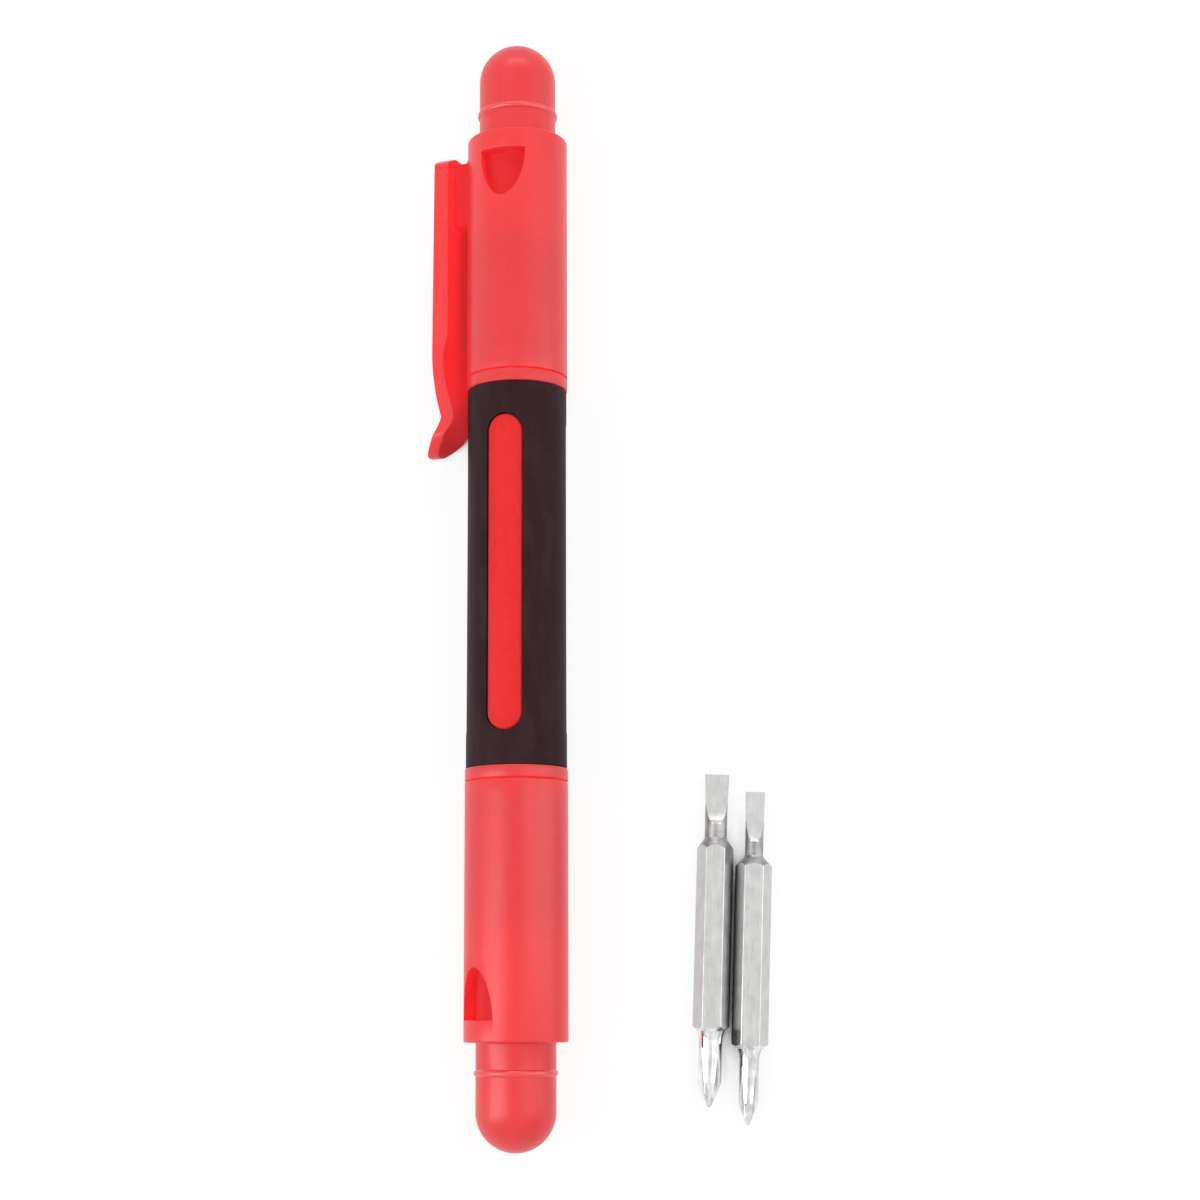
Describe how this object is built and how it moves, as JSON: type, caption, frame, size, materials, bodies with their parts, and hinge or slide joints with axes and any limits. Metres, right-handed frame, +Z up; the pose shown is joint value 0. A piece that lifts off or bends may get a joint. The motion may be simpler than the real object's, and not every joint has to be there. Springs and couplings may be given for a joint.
{
  "type": "pocket screwdriver",
  "caption": "Pen-shaped pocket screwdriver with a rubber grip, a bit socket under a cap at each end, a pocket clip and double-ended blade and cross-point bits.",
  "frame": {"origin": "on the handle's axis at the middle of the grip", "axes": "+Y along the handle towards the end with the pocket clip, +Z up from the surface that the tool lies on, +X towards the loose bits"},
  "size_m": [0.0458, 0.1494, 0.0136],
  "materials": {
    "core_plastic": "satin",
    "cap_plastic": "satin",
    "grip_rubber": "matte",
    "socket_steel": "machined",
    "spring_steel": "drawn wire",
    "bit_steel": "satin nickel"
  },
  "bodies": {
    "handle": {"handle_core": "core_plastic", "grip_sleeve": "grip_rubber", "upper_bit_socket": "socket_steel", "lower_bit_socket": "socket_steel", "upper_retaining_ring": "spring_steel", "lower_retaining_ring": "spring_steel"},
    "upper_cap": {"upper_cap": "cap_plastic"},
    "pocket_clip": {"pocket_clip": "cap_plastic"},
    "lower_cap": {"lower_cap": "cap_plastic"},
    "large_bit": {"large_bit": "bit_steel"},
    "small_bit": {"small_bit": "bit_steel"}
  },
  "joints": [
    {"name": "upper_cap_slide", "type": "slide", "parent": "handle", "child": "upper_cap", "axis": [0, 1, 0], "range_m": [0, 0.04]},
    {"name": "clip_flex", "type": "hinge", "parent": "upper_cap", "child": "pocket_clip", "pos_m": [-0.00941, 0.0493, -0.00315], "axis": [0.3178, 0, -0.9482], "range_deg": [0, 4], "stiffness_Nm_per_rad": 1},
    {"name": "lower_cap_slide", "type": "slide", "parent": "handle", "child": "lower_cap", "axis": [0, -1, 0], "range_m": [0, 0.04]},
    {"name": "large_bit_lift", "type": "slide", "parent": "handle", "child": "large_bit", "axis": [0, 0, 1], "range_m": [0, 0.05]},
    {"name": "small_bit_lift", "type": "slide", "parent": "handle", "child": "small_bit", "axis": [0, 0, 1], "range_m": [0, 0.05]}
  ]
}
